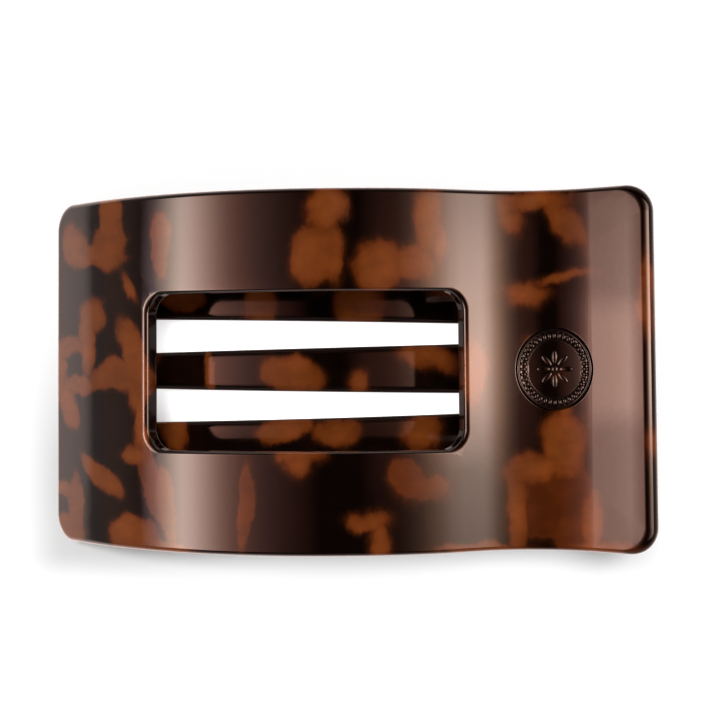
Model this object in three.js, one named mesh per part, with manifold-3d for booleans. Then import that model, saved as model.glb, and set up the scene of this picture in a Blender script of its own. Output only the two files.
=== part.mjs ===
// Flat spring hair clip, in millimetres. A bent plate with a window covers a three-tined fork.
// +X runs to the press end, -X to the tips, +Y across the clip and +Z up out of the plate.
// The origin is under the middle of the clip, on the surface that the fork rests on.
import * as THREE from 'three';
import { mergeVertices } from 'three/addons/utils/BufferGeometryUtils.js';
import Module from 'manifold-3d';

const wasm = await Module();
wasm.setup();

// Top plate: one sheet, bent in an arch, a valley over the hinge and a raised press end.
const PLATE_THICKNESS = 2.9;
const PLATE_WIDTH = 53;
const PLATE_CORNER = 4;
const PLATE_TIP_SLOPE = 45;
const PLATE_RUNS = [
  { length: 7.5 },
  { radius: 54, turn: -45 },
  { length: 2 },
  { radius: 47, turn: -20 },
  { length: 3 },
  { radius: 20, turn: 51 },
  { radius: 108, turn: 4.5 },
];
const CROWN_HEIGHT = 25.38;

// Window in the plate: lengths along the bent sheet, with walls square to it.
const WINDOW_START = 21.2;
const WINDOW_END = 68.7;
const WINDOW_WIDTH = 23.1;
const WINDOW_CORNER = 3.1;

// Medallion: a round inlay let into the plate over the hinge, with one raised ring.
const MEDALLION_STATION = 83.1;
const MEDALLION_RADIUS = 6;
const MEDALLION_DEPTH = 1;
const RING_RADIUS = 4.4;
const RING_HEIGHT = 0.35;

// Fork: one sheet with three tines that hook up to the plate, and a press pad.
const FORK_THICKNESS = 2.6;
const FORK_RUNS = [
  { length: 3.7 },
  { radius: 7, turn: 63 },
  { radius: 90, turn: -30 },
  { radius: 40, turn: 10 },
  { length: 10.6 },
  { radius: 40, turn: -12 },
  { length: 3.3 },
];
const TIP_INSET = 4;
const TIP_GAP = 0.35;
const TIP_HALF_WIDTH = 14.2;
const ROOT_HALF_WIDTH = 15.2;
const PAD_HALF_WIDTH = 17.5;
const PAD_CORNER = 5;
const TINE_PITCH = 11.15;
const SLOT_TIP_WIDTH = 6;
const SLOT_ROOT_WIDTH = 3.1;
const SLOT_ROOT_X = 21.5;
const SHOULDER_X = 20.5;
const PAD_X = 29;

// Hinge under the valley: a pair of plate lugs outside a pair of fork lugs, on one pin.
const PIN_X = 26.85;
const PIN_DROP = 13.75;
const PIN_RADIUS = 1.1;
const PIN_HEAD_RADIUS = 1.9;
const PIN_HEAD_THICKNESS = 0.8;
const HOLE_RADIUS = 1.35;
const EAR_RADIUS = 4;
const EAR_LEAN = 25;
const LUG_BASE = 14;
const GLUE_LINE = 0.3;
const PLATE_LUG = { inner: 11, outer: 14.5 };
const FORK_LUG = { inner: 7.5, outer: 10.6 };
const HEAD_GAP = 0.3;

// Torsion spring on the pin, with one leg against the plate and one against the pad.
const WIRE_RADIUS = 0.6;
const COIL_RADIUS = 2.7;
const COIL_TURNS = 6;
const COIL_HALF_LENGTH = 6;
const PLATE_LEG_STATION = 90;
const PAD_LEG_STATION = 80;
const LEG_GAP = 0.25;

const FACET_ANGLE = 3;
const FAR = 200;

const radians = THREE.MathUtils.degToRad;

// The middle line of a bent sheet, seen from -Y: straight runs and arcs end to end.
// A positive turn curls up. Points are Vector2(x, z).
class BentLine {
  constructor(start, heading, runs) {
    this.pieces = [];
    let point = start.clone();
    let angle = radians(heading);
    let station = 0;
    for (const run of runs) {
      const turn = radians(run.turn ?? 0);
      const length = run.length ?? run.radius * Math.abs(turn);
      const piece = { point, angle, station, length, bend: turn / length };
      this.pieces.push(piece);
      point = this.along(piece, length).point;
      angle += turn;
      station += length;
    }
    this.length = station;
  }

  along(piece, distance) {
    const { point, angle, bend } = piece;
    const heading = angle + bend * distance;
    const x = bend === 0
      ? Math.cos(angle) * distance
      : (Math.sin(heading) - Math.sin(angle)) / bend;
    const z = bend === 0
      ? Math.sin(angle) * distance
      : (Math.cos(angle) - Math.cos(heading)) / bend;
    return { point: new THREE.Vector2(point.x + x, point.y + z), heading };
  }

  // The point at a length along the line, moved square to it by an offset (positive is up).
  at(station, offset = 0) {
    const started = this.pieces.filter((piece) => piece.station <= station);
    const piece = started.at(-1) ?? this.pieces[0];
    const { point, heading } = this.along(piece, station - piece.station);
    const normal = new THREE.Vector2(-Math.sin(heading), Math.cos(heading));
    return { point: point.addScaledVector(normal, offset), heading };
  }

  // Lengths at which the line is cut into facets, from one station to another.
  stations(from, to) {
    const list = [from];
    for (const { station, length, bend } of this.pieces) {
      const steps = Math.max(1, Math.ceil(Math.abs(bend * length) / radians(FACET_ANGLE)));
      for (let step = 0; step < steps; step += 1) {
        const candidate = station + (length * step) / steps;
        if (candidate > from && candidate < to) list.push(candidate);
      }
    }
    return [...list, to];
  }

  edge(from, to, offset) {
    return this.stations(from, to).map((station) => this.at(station, offset).point);
  }
}

function toSolid(geometry) {
  const bare = geometry.index ? geometry.toNonIndexed() : geometry.clone();
  bare.deleteAttribute('normal');
  bare.deleteAttribute('uv');
  const merged = mergeVertices(bare, 1e-5);
  return new wasm.Manifold(new wasm.Mesh({
    numProp: 3,
    vertProperties: new Float32Array(merged.attributes.position.array),
    triVerts: new Uint32Array(merged.index.array),
  }));
}

function toGeometry(solid) {
  const { vertProperties, triVerts } = solid.getMesh();
  const geometry = new THREE.BufferGeometry();
  geometry.setAttribute('position', new THREE.BufferAttribute(vertProperties, 3));
  geometry.setIndex(new THREE.BufferAttribute(triVerts, 1));
  return geometry;
}

// A side profile drawn in (x, z), made a solid between two values of y.
function extrudeAcross(shape, yLow, yHigh) {
  const geometry = new THREE.ExtrudeGeometry(shape, {
    depth: yHigh - yLow,
    bevelEnabled: false,
    curveSegments: 16,
  });
  return geometry.rotateX(Math.PI / 2).translate(0, yHigh, 0);
}

// The stretch of a bent sheet between two stations and two offsets, at full width.
function ribbon(line, from, to, low, high, width) {
  const lower = line.edge(from, to, low);
  const upper = line.edge(from, to, high).reverse();
  const shape = new THREE.Shape([...lower, ...upper]);
  return toSolid(extrudeAcross(shape, -width / 2, width / 2));
}

// A plan drawn in (along the sheet, y), made a prism square to the sheet at a station.
function prismAt(line, station, plan, low, high) {
  const { point, heading } = line.at(station);
  const geometry = new THREE.ExtrudeGeometry(plan, {
    depth: high - low,
    bevelEnabled: false,
    curveSegments: 12,
  });
  geometry.translate(0, 0, low).rotateY(-heading).translate(point.x, 0, point.y);
  return toSolid(geometry);
}

function roundedRectangle(xLow, xHigh, yLow, yHigh, radius) {
  const plan = new THREE.Shape();
  plan.moveTo(xLow + radius, yLow);
  plan.lineTo(xHigh - radius, yLow);
  plan.absarc(xHigh - radius, yLow + radius, radius, -Math.PI / 2, 0);
  plan.lineTo(xHigh, yHigh - radius);
  plan.absarc(xHigh - radius, yHigh - radius, radius, 0, Math.PI / 2);
  plan.lineTo(xLow + radius, yHigh);
  plan.absarc(xLow + radius, yHigh - radius, radius, Math.PI / 2, Math.PI);
  plan.lineTo(xLow, yLow + radius);
  plan.absarc(xLow + radius, yLow + radius, radius, Math.PI, 1.5 * Math.PI);
  return plan;
}

function disc(radius) {
  return new THREE.Shape().absarc(0, 0, radius, 0, 2 * Math.PI);
}

// The plate's middle line is laid out from its tip, then centred on the length of its box.
function placePlateLine() {
  const half = PLATE_THICKNESS / 2;
  const trial = new BentLine(new THREE.Vector2(), PLATE_TIP_SLOPE, PLATE_RUNS);
  const leftmost = trial.at(0, half).point.x;
  const rightmost = trial.at(trial.length, -half).point.x;
  const crown = trial.at(PLATE_RUNS[0].length + PLATE_RUNS[1].radius * radians(45)).point;
  const start = new THREE.Vector2(-(leftmost + rightmost) / 2, CROWN_HEIGHT - crown.y);
  return new BentLine(start, PLATE_TIP_SLOPE, PLATE_RUNS);
}

const plateLine = placePlateLine();
const tip = plateLine.at(TIP_INSET, -PLATE_THICKNESS / 2 - TIP_GAP).point;
const forkLine = new BentLine(tip, PLATE_TIP_SLOPE - 90, FORK_RUNS);
const pinCentre = new THREE.Vector2(PIN_X, CROWN_HEIGHT - PIN_DROP);

function makeTopPlate() {
  const half = PLATE_THICKNESS / 2;
  const halfWidth = PLATE_WIDTH / 2;
  const sheet = ribbon(plateLine, 0, plateLine.length, -half, half, PLATE_WIDTH + 2);
  const tipPlan = roundedRectangle(0, FAR, -halfWidth, halfWidth, PLATE_CORNER);
  const pressPlan = roundedRectangle(-FAR, 0, -halfWidth, halfWidth, PLATE_CORNER);
  const tipPrism = prismAt(plateLine, 0, tipPlan, -FAR, FAR);
  const pressPrism = prismAt(plateLine, plateLine.length, pressPlan, -FAR, FAR);
  return sheet
    .intersect(tipPrism)
    .intersect(pressPrism)
    .subtract(makeWindowCutter())
    .subtract(roundLayer(MEDALLION_RADIUS, half - MEDALLION_DEPTH - GLUE_LINE, PLATE_THICKNESS));
}

function makeWindowCutter() {
  const reach = PLATE_THICKNESS;
  const innerStart = WINDOW_START + WINDOW_CORNER;
  const innerEnd = WINDOW_END - WINDOW_CORNER;
  const cornerY = WINDOW_WIDTH / 2 - WINDOW_CORNER;
  let cutter = ribbon(plateLine, innerStart, innerEnd, -reach, reach, WINDOW_WIDTH);
  cutter = cutter.add(ribbon(plateLine, WINDOW_START, WINDOW_END, -reach, reach, 2 * cornerY));
  for (const station of [innerStart, innerEnd]) {
    for (const y of [-cornerY, cornerY]) {
      const corner = prismAt(plateLine, station, disc(WINDOW_CORNER), -reach, reach);
      cutter = cutter.add(corner.translate([0, y, 0]));
    }
  }
  return cutter;
}

// A round layer of the bent sheet over the hinge, between two offsets from the middle line.
function roundLayer(radius, low, high) {
  const from = MEDALLION_STATION - 2 * radius;
  const to = MEDALLION_STATION + 2 * radius;
  const layer = ribbon(plateLine, from, to, low, high, 3 * radius);
  return layer.intersect(prismAt(plateLine, MEDALLION_STATION, disc(radius), -10, 10));
}

function makeMedallion() {
  const half = PLATE_THICKNESS / 2;
  const blank = roundLayer(MEDALLION_RADIUS - GLUE_LINE, half - MEDALLION_DEPTH, half + RING_HEIGHT);
  return blank.subtract(roundLayer(RING_RADIUS, half - RING_HEIGHT, PLATE_THICKNESS));
}

// The fork's outline in plan: tapered tines, then shoulders out to a round-cornered pad.
function forkPlan() {
  const tipX = forkLine.at(0).point.x - 5;
  const endX = forkLine.at(forkLine.length).point.x;
  const cornerX = endX - PAD_CORNER;
  const cornerY = PAD_HALF_WIDTH - PAD_CORNER;
  const middleX = (SHOULDER_X + PAD_X) / 2;
  const root = ROOT_HALF_WIDTH;
  const pad = PAD_HALF_WIDTH;
  const plan = new THREE.Shape();
  plan.moveTo(tipX, -TIP_HALF_WIDTH);
  plan.lineTo(SHOULDER_X, -root);
  plan.bezierCurveTo(middleX, -root, middleX, -pad, PAD_X, -pad);
  plan.lineTo(cornerX, -pad);
  plan.absarc(cornerX, -cornerY, PAD_CORNER, -Math.PI / 2, 0);
  plan.lineTo(endX, cornerY);
  plan.absarc(cornerX, cornerY, PAD_CORNER, 0, Math.PI / 2);
  plan.lineTo(PAD_X, pad);
  plan.bezierCurveTo(middleX, pad, middleX, root, SHOULDER_X, root);
  plan.lineTo(tipX, TIP_HALF_WIDTH);
  return plan;
}

// A slot between two tines in plan, open past the tips and round at its root.
function slotPlan(y) {
  const rootX = SLOT_ROOT_X;
  const tipX = forkLine.at(0).point.x - 5;
  const rootHalf = SLOT_ROOT_WIDTH / 2;
  const tipHalf = SLOT_TIP_WIDTH / 2;
  const plan = new THREE.Shape();
  plan.moveTo(tipX, y - tipHalf);
  plan.lineTo(rootX, y - rootHalf);
  plan.absarc(rootX, y, rootHalf, -Math.PI / 2, Math.PI / 2);
  plan.lineTo(tipX, y + tipHalf);
  return plan;
}

function standUp(plan) {
  const geometry = new THREE.ExtrudeGeometry(plan, {
    depth: 2 * FAR,
    bevelEnabled: false,
    curveSegments: 10,
  });
  return toSolid(geometry.translate(0, 0, -FAR));
}

function makeFork() {
  const half = FORK_THICKNESS / 2;
  const width = 2 * PAD_HALF_WIDTH + 2;
  const sheet = ribbon(forkLine, 0, forkLine.length, -half, half, width);
  const floor = toSolid(new THREE.BoxGeometry(FAR, FAR, 20).translate(0, 0, -10));
  return sheet
    .intersect(standUp(forkPlan()))
    .subtract(standUp(slotPlan(TINE_PITCH / 2)))
    .subtract(standUp(slotPlan(-TINE_PITCH / 2)))
    .subtract(floor);
}

// A lug seen from the side: a round ear about the pin on a base that follows its sheet.
function lugShape(line, offset, hangs) {
  const isInBase = (station) => Math.abs(line.at(station).point.x - PIN_X) < LUG_BASE / 2;
  const base = line.stations(0, line.length).filter(isInBase);
  const lean = radians(hangs ? -EAR_LEAN : EAR_LEAN);
  const { x, y } = pinCentre;
  const shape = new THREE.Shape(base.map((station) => line.at(station, offset).point));
  shape.absarc(x, y, EAR_RADIUS, lean, Math.PI - lean, hangs);
  shape.holes.push(new THREE.Path().absarc(x, y, HOLE_RADIUS, 0, 2 * Math.PI));
  return shape;
}

function makeHingePin() {
  const headStart = PLATE_LUG.outer + HEAD_GAP;
  const end = headStart + PIN_HEAD_THICKNESS;
  const half = [
    [PIN_RADIUS, headStart],
    [PIN_HEAD_RADIUS, headStart],
    [PIN_HEAD_RADIUS, end - 0.3],
    [PIN_HEAD_RADIUS - 0.5, end],
    [0, end],
  ];
  const lower = half.map(([radius, y]) => new THREE.Vector2(radius, -y)).reverse();
  const upper = half.map(([radius, y]) => new THREE.Vector2(radius, y));
  const geometry = new THREE.LatheGeometry([...lower, ...upper], 24);
  return geometry.translate(pinCentre.x, 0, pinCentre.y);
}

// A spring leg runs from the coil, square to its radius, to where its end bears on a sheet.
function springLeg(target, side) {
  const reach = target.clone().sub(pinCentre);
  const angle = reach.angle() - side * Math.asin(COIL_RADIUS / reach.length());
  const way = new THREE.Vector3(Math.cos(angle), 0, Math.sin(angle));
  return { angle, way, length: Math.sqrt(reach.lengthSq() - COIL_RADIUS ** 2) };
}

// The spring's wire: a leg, the coil and the other leg, about the pin.
class SpringCurve extends THREE.Curve {
  constructor() {
    super();
    const bearing = WIRE_RADIUS + LEG_GAP;
    const plateEnd = plateLine.at(PLATE_LEG_STATION, -PLATE_THICKNESS / 2 - bearing).point;
    const padEnd = forkLine.at(PAD_LEG_STATION, FORK_THICKNESS / 2 + bearing).point;
    this.plateLeg = springLeg(plateEnd, 1);
    this.padLeg = springLeg(padEnd, -1);
    this.first = this.plateLeg.angle + Math.PI / 2;
    this.last = this.padLeg.angle - Math.PI / 2 + 2 * Math.PI * COIL_TURNS;
    this.coilLength = COIL_RADIUS * (this.last - this.first);
    this.total = this.plateLeg.length + this.coilLength + this.padLeg.length;
  }

  onCoil(angle) {
    const share = (angle - this.first) / (this.last - this.first);
    const x = pinCentre.x + COIL_RADIUS * Math.cos(angle);
    const z = pinCentre.y + COIL_RADIUS * Math.sin(angle);
    return new THREE.Vector3(x, COIL_HALF_LENGTH * (2 * share - 1), z);
  }

  getPoint(t, target = new THREE.Vector3()) {
    const onCoil = t * this.total - this.plateLeg.length;
    if (onCoil < 0) {
      return target.copy(this.onCoil(this.first)).addScaledVector(this.plateLeg.way, -onCoil);
    }
    if (onCoil > this.coilLength) {
      const past = onCoil - this.coilLength;
      return target.copy(this.onCoil(this.last)).addScaledVector(this.padLeg.way, past);
    }
    return target.copy(this.onCoil(this.first + onCoil / COIL_RADIUS));
  }
}

function makeTorsionSpring() {
  const wire = new THREE.Shape().absarc(0, 0, WIRE_RADIUS, 0, 2 * Math.PI);
  return new THREE.ExtrudeGeometry(wire, {
    steps: 140,
    curveSegments: 4,
    extrudePath: new SpringCurve(),
  });
}

const tortoiseshell = new THREE.MeshStandardMaterial({
  color: 0x3a2219,
  roughness: 0.12,
  metalness: 0,
});
const darkInlay = new THREE.MeshStandardMaterial({ color: 0x2a1a14, roughness: 0.3, metalness: 0 });
const steel = new THREE.MeshStandardMaterial({ color: 0xb9bbbd, roughness: 0.25, metalness: 1 });

const clip = new THREE.Group();

function addPart(name, geometry, material) {
  const mesh = new THREE.Mesh(geometry, material);
  mesh.name = name;
  clip.add(mesh);
}

function addLugs(prefix, shape, { inner, outer }) {
  addPart(`${prefix}_rear`, extrudeAcross(shape, inner, outer), tortoiseshell);
  addPart(`${prefix}_front`, extrudeAcross(shape, -outer, -inner), tortoiseshell);
}

const plateLug = lugShape(plateLine, -PLATE_THICKNESS / 2 - GLUE_LINE, true);
const forkLug = lugShape(forkLine, FORK_THICKNESS / 2 + GLUE_LINE, false);

addPart('top_plate', toGeometry(makeTopPlate()), tortoiseshell);
addPart('medallion', toGeometry(makeMedallion()), darkInlay);
addLugs('plate_lug', plateLug, PLATE_LUG);
addPart('fork', toGeometry(makeFork()), tortoiseshell);
addLugs('fork_lug', forkLug, FORK_LUG);
addPart('hinge_pin', makeHingePin(), steel);
addPart('torsion_spring', makeTorsionSpring(), steel);

export default clip;
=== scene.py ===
import math

import bmesh
import bpy
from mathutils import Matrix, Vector


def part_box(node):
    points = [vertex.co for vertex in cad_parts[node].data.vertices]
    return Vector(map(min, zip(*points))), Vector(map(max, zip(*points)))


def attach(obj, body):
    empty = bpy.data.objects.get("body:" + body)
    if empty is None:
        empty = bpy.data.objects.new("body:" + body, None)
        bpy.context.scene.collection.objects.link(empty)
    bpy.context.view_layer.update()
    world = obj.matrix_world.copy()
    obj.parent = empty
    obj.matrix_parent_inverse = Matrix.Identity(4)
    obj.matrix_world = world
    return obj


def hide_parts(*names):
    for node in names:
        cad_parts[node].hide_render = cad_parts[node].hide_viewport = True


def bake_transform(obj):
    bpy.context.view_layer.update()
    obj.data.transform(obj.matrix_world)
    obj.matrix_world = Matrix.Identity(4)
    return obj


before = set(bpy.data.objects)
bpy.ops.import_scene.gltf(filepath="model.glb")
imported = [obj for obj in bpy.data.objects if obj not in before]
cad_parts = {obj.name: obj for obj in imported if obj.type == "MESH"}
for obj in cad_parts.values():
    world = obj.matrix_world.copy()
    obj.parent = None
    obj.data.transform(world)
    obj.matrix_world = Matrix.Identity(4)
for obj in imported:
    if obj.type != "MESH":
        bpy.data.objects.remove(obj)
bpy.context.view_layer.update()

MM = 0.001

# The plate's middle line, from the tip end: a length with no turn, or a radius with a turn.
PLATE_THICKNESS = 2.9
PLATE_WIDTH = 53
PLATE_CORNER = 4
PLATE_TIP_SLOPE = 45
PLATE_RUNS = [(7.5, 0), (54, -45), (2, 0), (47, -20), (3, 0), (20, 51), (108, 4.5)]
PLATE_ROUNDING = 1.3
PLATE_OVERHANG = 0.5

WINDOW_START = 21.2
WINDOW_END = 68.7
WINDOW_WIDTH = 23.1
WINDOW_CORNER = 3.1
WINDOW_ROUNDING = 0.75

MEDALLION_STATION = 83.1
RECESS_RADIUS = 6
RECESS_DEPTH = 1
RECESS_LIP = 0.25
LIP_SEGMENTS = 4
CUTTER_HEIGHT = 4

# The fork's middle line, from the tips of the tines to the press pad.
FORK_THICKNESS = 2.6
FORK_TIP_SLOPE = -45
FORK_RUNS = [(3.7, 0), (7, 63), (90, -30), (40, 10), (10.6, 0), (40, -12), (3.3, 0)]
FORK_ROUNDING = 1.1
PAD_OVERHANG = 0.25
TIP_HALF_WIDTH = 14.2
ROOT_HALF_WIDTH = 15.2
PAD_HALF_WIDTH = 17.5
PAD_CORNER = 5
SHOULDER_STATION = 63.0
PAD_STATION = 71.6
TINE_PITCH = 11.15
SLOT_TIP_WIDTH = 5.82
SLOT_ROOT_WIDTH = 3.1
SLOT_ROOT_STATION = 65.6
TINE_CORNER = 1.4

# The share of half a slot's width to which its root is rounded.
ROOT_ROUNDING_SHARE = 0.98

ROUND_SEGMENTS = 10
EDGE_SEGMENTS = 6
DISC_SEGMENTS = 96
FACET_ANGLE = 1.5
FLAT_ANGLE = 0.5
SMOOTH_ANGLE = 35

COIL_RADIUS = 2.7
COIL_TURNS = 6
COIL_HALF_LENGTH = 6
WIRE_RADIUS = 0.6
LEG_GAP = 0.25
PLATE_LEG_STATION = 90
PAD_LEG_STATION = 80

PIN_RADIUS = 1.1
PIN_HEAD_START = 14.8
PIN_HEAD_RADIUS = 1.9
PIN_HEAD_THICKNESS = 0.8
PIN_HEAD_ROUNDING = 0.1
# A head's end as steps inwards and out: its rounded rim, its flat and its dimple.
PIN_HEAD_END = [(0.06, 0.06), (0.14, 0.04), (0.9, 0), (0.12, -0.12)]

LUG_SOFTENING = 0.35
# A lug's points this near to its sheet's middle line are its base.
LUG_BASE_REACH = 1.85
LUG_SINK = 0.5

# Amber patches in the shell, in plan: x, y, half-length, half-width, turn in degrees.
# A sixth value keeps a patch faint: the depth in it goes no lower than that.
PLATE_AMBER = [
    (-35.2, 23.8, 1.5, 3.9, 0), (-35.5, 19.2, 2.3, 2.9, 0), (-37.6, 17.8, 4.4, 1.3, -5),
    (-41.9, 19.9, 1.7, 2.7, 10), (-33.6, 20.6, 0.9, 1.6, 20), (-26.6, 19.0, 1.1, 3.8, 0, 0.3),
    (-32.0, 13.0, 0.5, 1.6, 25), (-38.2, 9.0, 1.8, 1.9, 0), (-39.2, 4.6, 1.2, 4.4, 0),
    (-43.1, 3.9, 2.6, 1.2, 0), (-44.5, 0.4, 0.9, 3.6, 0), (-42.9, -5.0, 1.3, 3.2, 10),
    (-40.8, -1.9, 3.2, 0.9, 0), (-31.3, 3.6, 1.6, 3.8, 18), (-33.2, -0.5, 4.4, 2.1, 0),
    (-30.2, -2.6, 1.5, 2.8, 0), (-29.7, -7.2, 0.7, 4.2, 5), (-36.4, -15.8, 3.5, 1.2, -38),
    (-35.2, -16.8, 1.2, 1.0, 0), (-41.5, -21.6, 1.2, 4.6, 0), (-42.9, -24.8, 2.7, 1.9, 0),
    (-43.6, -18.2, 1.7, 0.8, 0), (-30.9, -24.5, 3.3, 2.7, 0), (-26.0, -25.9, 3.4, 0.8, 0),
    (-30.7, -12.0, 1.3, 0.9, 0), (-28.2, -15.8, 1.3, 5.8, 15, 0.3),
    (-25.6, -19.5, 1.2, 4.4, 8, 0.3), (-13.8, -19.4, 0.9, 4.8, -6, 0.45),
    (-1.7, 23.6, 2.6, 3.0, 0), (-3.1, 17.0, 3.3, 3.9, 0), (-5.0, 15.7, 1.8, 2.6, 0),
    (-0.9, 16.6, 1.3, 3.6, 0), (5.6, 15.0, 3.2, 3.4, 0), (10.4, 15.5, 2.8, 2.5, 22),
    (13.0, 21.8, 1.7, 4.3, -4), (14.6, 18.6, 0.9, 2.4, 0), (-5.8, -11.8, 2.7, 1.6, 0),
    (-6.0, -13.5, 1.4, 1.5, 0), (9.6, -15.4, 2.0, 2.5, 10, 0.25), (12.4, -16.8, 2.2, 1.3, 0, 0.3),
    (4.2, -21.3, 2.3, 1.1, 0), (5.5, -24.3, 1.0, 2.6, 0), (20.5, -25.9, 5.6, 0.8, 0),
    (28.6, 24.9, 4.3, 1.5, 0), (25.4, 22.6, 1.4, 2.4, 10), (32.9, 21.8, 1.6, 4.2, 38),
    (27.4, 11.0, 2.5, 1.4, 0), (32.4, 13.6, 2.8, 0.6, 14), (43.9, 10.2, 1.0, 4.7, 0),
    (32.6, -11.2, 2.9, 4.4, 0), (28.4, -14.8, 4.0, 2.1, 14), (25.8, -20.6, 1.4, 5.8, 0),
    (36.0, -21.8, 1.5, 3.8, 0), (37.2, -25.7, 3.4, 0.8, 0), (44.5, -10.4, 0.8, 1.4, 0),
    (30.4, -18.5, 5.4, 5.6, 0, 0.4), (34.0, -24.0, 2.6, 2.4, 0, 0.4),
    (19.6, -0.6, 1.5, 4.4, 0), (31.0, 3.8, 2.6, 0.9, 0), (32.6, -5.8, 0.8, 1.6, 0),
]
# Dark islands inside the amber, in the same way.
PLATE_DARK = [
    (-42.0, 0.8, 1.5, 2.1, -15), (-43.5, -20.9, 0.9, 1.7, 0), (-39.0, 21.6, 1.7, 1.4, 30),
    (-36.0, 3.6, 2.1, 2.4, 0),
]
FORK_AMBER = [
    (-12.7, 10.1, 2.3, 3.2, 0), (3.1, 10.0, 3.7, 3.4, -6), (-7.8, -0.7, 4.4, 2.8, -12),
    (3.1, -2.2, 1.1, 1.6, 0), (14.5, 1.7, 4.8, 1.7, -14), (-20.9, 0.2, 0.5, 2.2, 0),
    (-8.9, -9.3, 4.0, 1.6, 6), (-0.9, -9.8, 3.1, 1.9, 0), (12.6, -9.7, 2.5, 2.4, 0),
    (-38.2, 11.6, 2.0, 2.8, 15), (-33.0, 0.8, 3.4, 1.7, 25), (-35.5, -12.0, 2.6, 1.5, -10),
    (-27.0, -9.0, 1.8, 3.0, 20), (-25.5, 11.5, 3.0, 1.6, -18), (22.5, 7.5, 2.6, 4.2, 25),
    (24.0, -6.5, 4.4, 2.4, -20), (31.0, 14.0, 3.2, 2.0, 10), (33.5, 1.5, 2.2, 4.6, -12),
    (31.5, -13.8, 2.8, 2.2, 30), (39.5, 8.4, 2.6, 3.4, 15), (40.5, -5.0, 3.4, 1.9, -25),
    (43.6, 14.2, 1.5, 2.6, 0), (42.8, -13.6, 2.2, 2.4, 12), (17.0, 13.6, 2.4, 1.4, 0),
]


class BentLine:
    """The middle line of a bent sheet in x and z: straight runs and arcs, end to end."""

    def __init__(self, heading, runs, start=(0.0, 0.0)):
        self.pieces = []
        x, z = start
        angle = math.radians(heading)
        station = 0.0
        for size, turn in runs:
            turn = math.radians(turn)
            length = size * MM * (abs(turn) if turn else 1)
            piece = (x, z, angle, station, length, turn / length)
            self.pieces.append(piece)
            x, z, angle = self.along(piece, length)
            station += length
        self.length = station

    def along(self, piece, distance):
        x, z, angle, _, _, bend = piece
        heading = angle + bend * distance
        if bend == 0:
            x += math.cos(angle) * distance
            z += math.sin(angle) * distance
        else:
            x += (math.sin(heading) - math.sin(angle)) / bend
            z += (math.cos(angle) - math.cos(heading)) / bend
        return x, z, heading

    def at(self, station, offset=0.0):
        """The point at a length along the line, moved square to it by an offset."""
        started = [piece for piece in self.pieces if piece[3] <= station]
        piece = (started or self.pieces)[-1]
        x, z, heading = self.along(piece, station - piece[3])
        return x - math.sin(heading) * offset, z + math.cos(heading) * offset

    def even_points(self, step, offset=0.0):
        count = math.ceil(self.length / step)
        return [self.at(self.length * i / count, offset) for i in range(count + 1)]

    def creases(self):
        """Stations where a sheet is cut, so that no facet turns more than FACET_ANGLE."""
        found = []
        for _, _, _, station, length, bend in self.pieces:
            steps = math.ceil(abs(bend * length) / math.radians(FACET_ANGLE) - 1e-6)
            found += [station + length * i / max(steps, 1) for i in range(max(steps, 1))]
        return found[1:]


def placed_line(heading, runs, thickness, node):
    """A bent line, moved so that its sheet reaches the top and the high x of a node's box."""
    trial = BentLine(heading, runs)
    half = thickness * MM / 2
    step = 0.1 * MM
    faces = trial.even_points(step, half) + trial.even_points(step, -half)
    _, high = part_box(node)
    start = (high.x - max(x for x, _ in faces), high.z - max(z for _, z in faces))
    return BentLine(heading, runs, start)


plate_line = placed_line(PLATE_TIP_SLOPE, PLATE_RUNS, PLATE_THICKNESS, "top_plate")
fork_line = placed_line(FORK_TIP_SLOPE, FORK_RUNS, FORK_THICKNESS, "fork")
pin_low, pin_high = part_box("hinge_pin")
pin_centre = (pin_low + pin_high) / 2


# ---- Tools for modelling ----

def deselect_all():
    bpy.ops.object.select_all(action="DESELECT")


def named(name):
    piece = bpy.context.active_object
    piece.name = name
    piece.data.name = name
    return piece


def edit():
    bpy.ops.object.mode_set(mode="EDIT")
    bpy.ops.mesh.select_all(action="SELECT")


def done():
    bpy.ops.object.mode_set(mode="OBJECT")


def pick(piece, kind, passes):
    """In edit mode, selects the vertices, edges or faces that pass a test, and no others."""
    bpy.ops.mesh.select_mode(type=kind)
    bpy.ops.mesh.select_all(action="DESELECT")
    form = bmesh.from_edit_mesh(piece.data)
    form.normal_update()
    for item in {"VERT": form.verts, "EDGE": form.edges, "FACE": form.faces}[kind]:
        if passes(item):
            item.select_set(True)
    form.select_flush_mode()
    bmesh.update_edit_mesh(piece.data)


def edge_middle(edge):
    return (edge.verts[0].co + edge.verts[1].co) / 2


def is_sharp(edge, angle=40):
    return len(edge.link_faces) == 2 and edge.calc_face_angle(0) > math.radians(angle)


def apply_modifier(piece, kind, **settings):
    modifier = piece.modifiers.new(kind.lower(), kind)
    for key, value in settings.items():
        setattr(modifier, key, value)
    bpy.context.view_layer.objects.active = piece
    bpy.ops.object.modifier_apply(modifier=modifier.name)


def add_flat_rectangle(low_x, high_x, width, z):
    """In edit mode, adds a rectangle as one face and leaves it selected."""
    centre = ((low_x + high_x) / 2 * MM, 0, z * MM)
    bpy.ops.mesh.select_all(action="DESELECT")
    bpy.ops.mesh.primitive_plane_add(size=MM, location=centre)
    size = (high_x - low_x, width, 1)
    bpy.ops.transform.resize(value=size, center_override=centre)


def start_flat_piece(name):
    """An empty mesh at the origin, in edit mode, for a sheet that is laid out flat."""
    deselect_all()
    bpy.ops.mesh.primitive_plane_add(size=MM, location=(0, 0, 0))
    piece = named(name)
    edit()
    bpy.ops.mesh.delete(type="VERT")
    return piece


def round_corners(radius):
    bpy.ops.mesh.bevel(
        offset=radius * MM, segments=ROUND_SEGMENTS, affect="VERTICES", clamp_overlap=False
    )


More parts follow.
